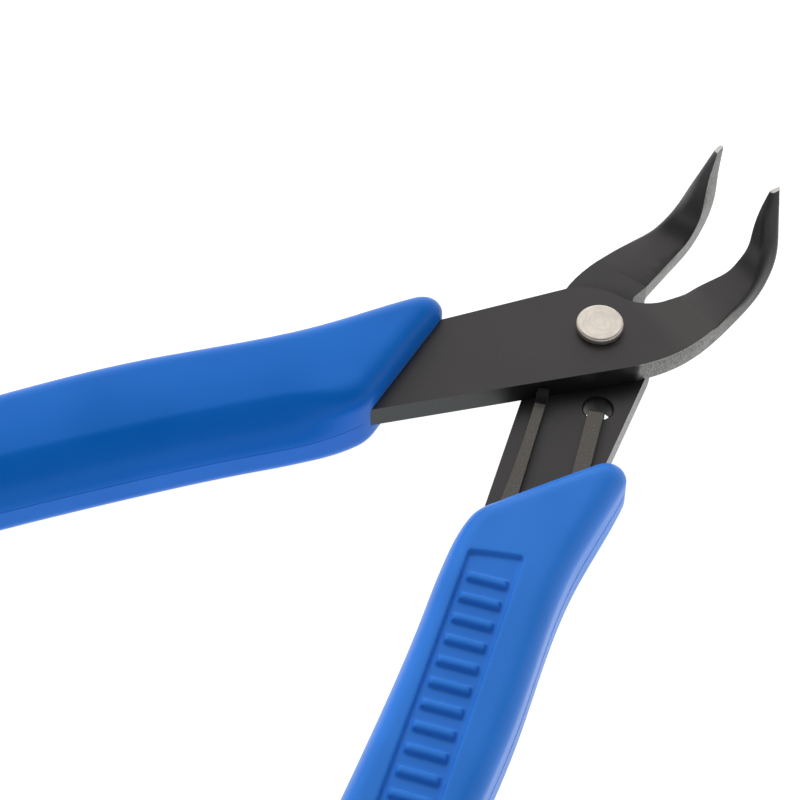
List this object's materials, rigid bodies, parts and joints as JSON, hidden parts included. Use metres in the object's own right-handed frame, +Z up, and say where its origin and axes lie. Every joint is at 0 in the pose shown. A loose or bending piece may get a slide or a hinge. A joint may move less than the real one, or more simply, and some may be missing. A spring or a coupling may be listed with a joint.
{
  "type": "bent-nose tweezer pliers",
  "caption": "Slim bent-nose tweezer pliers: two riveted flat steel halves with fine tips turned up, moulded blue grips and a hairpin return spring.",
  "frame": {"origin": "below the middle of the part's box, on the surface it lies on", "axes": "+X towards the jaws, +Y towards the front half's handle, +Z up along the rivet, the way the tips are bent"},
  "size_m": [0.133, 0.1054, 0.0221],
  "materials": {
    "black_steel": "black oxide, satin",
    "rivet_metal": "plated, satin",
    "spring_steel": "grey-brown, dull",
    "blue_grip": "smooth moulded, satin"
  },
  "bodies": {
    "rear": {"rear_half": "black_steel", "rear_grip": "blue_grip", "pivot_rivet": "rivet_metal", "return_spring": "spring_steel"},
    "front": {"front_half": "black_steel", "front_grip": "blue_grip"}
  },
  "joints": [
    {"name": "pivot", "type": "hinge", "parent": "rear", "child": "front", "pos_m": [0.03911, 0, 0.00775], "axis": [0, 0, 1], "range_deg": [0, 20], "stiffness_Nm_per_rad": 1, "deforming": ["return_spring"]}
  ]
}
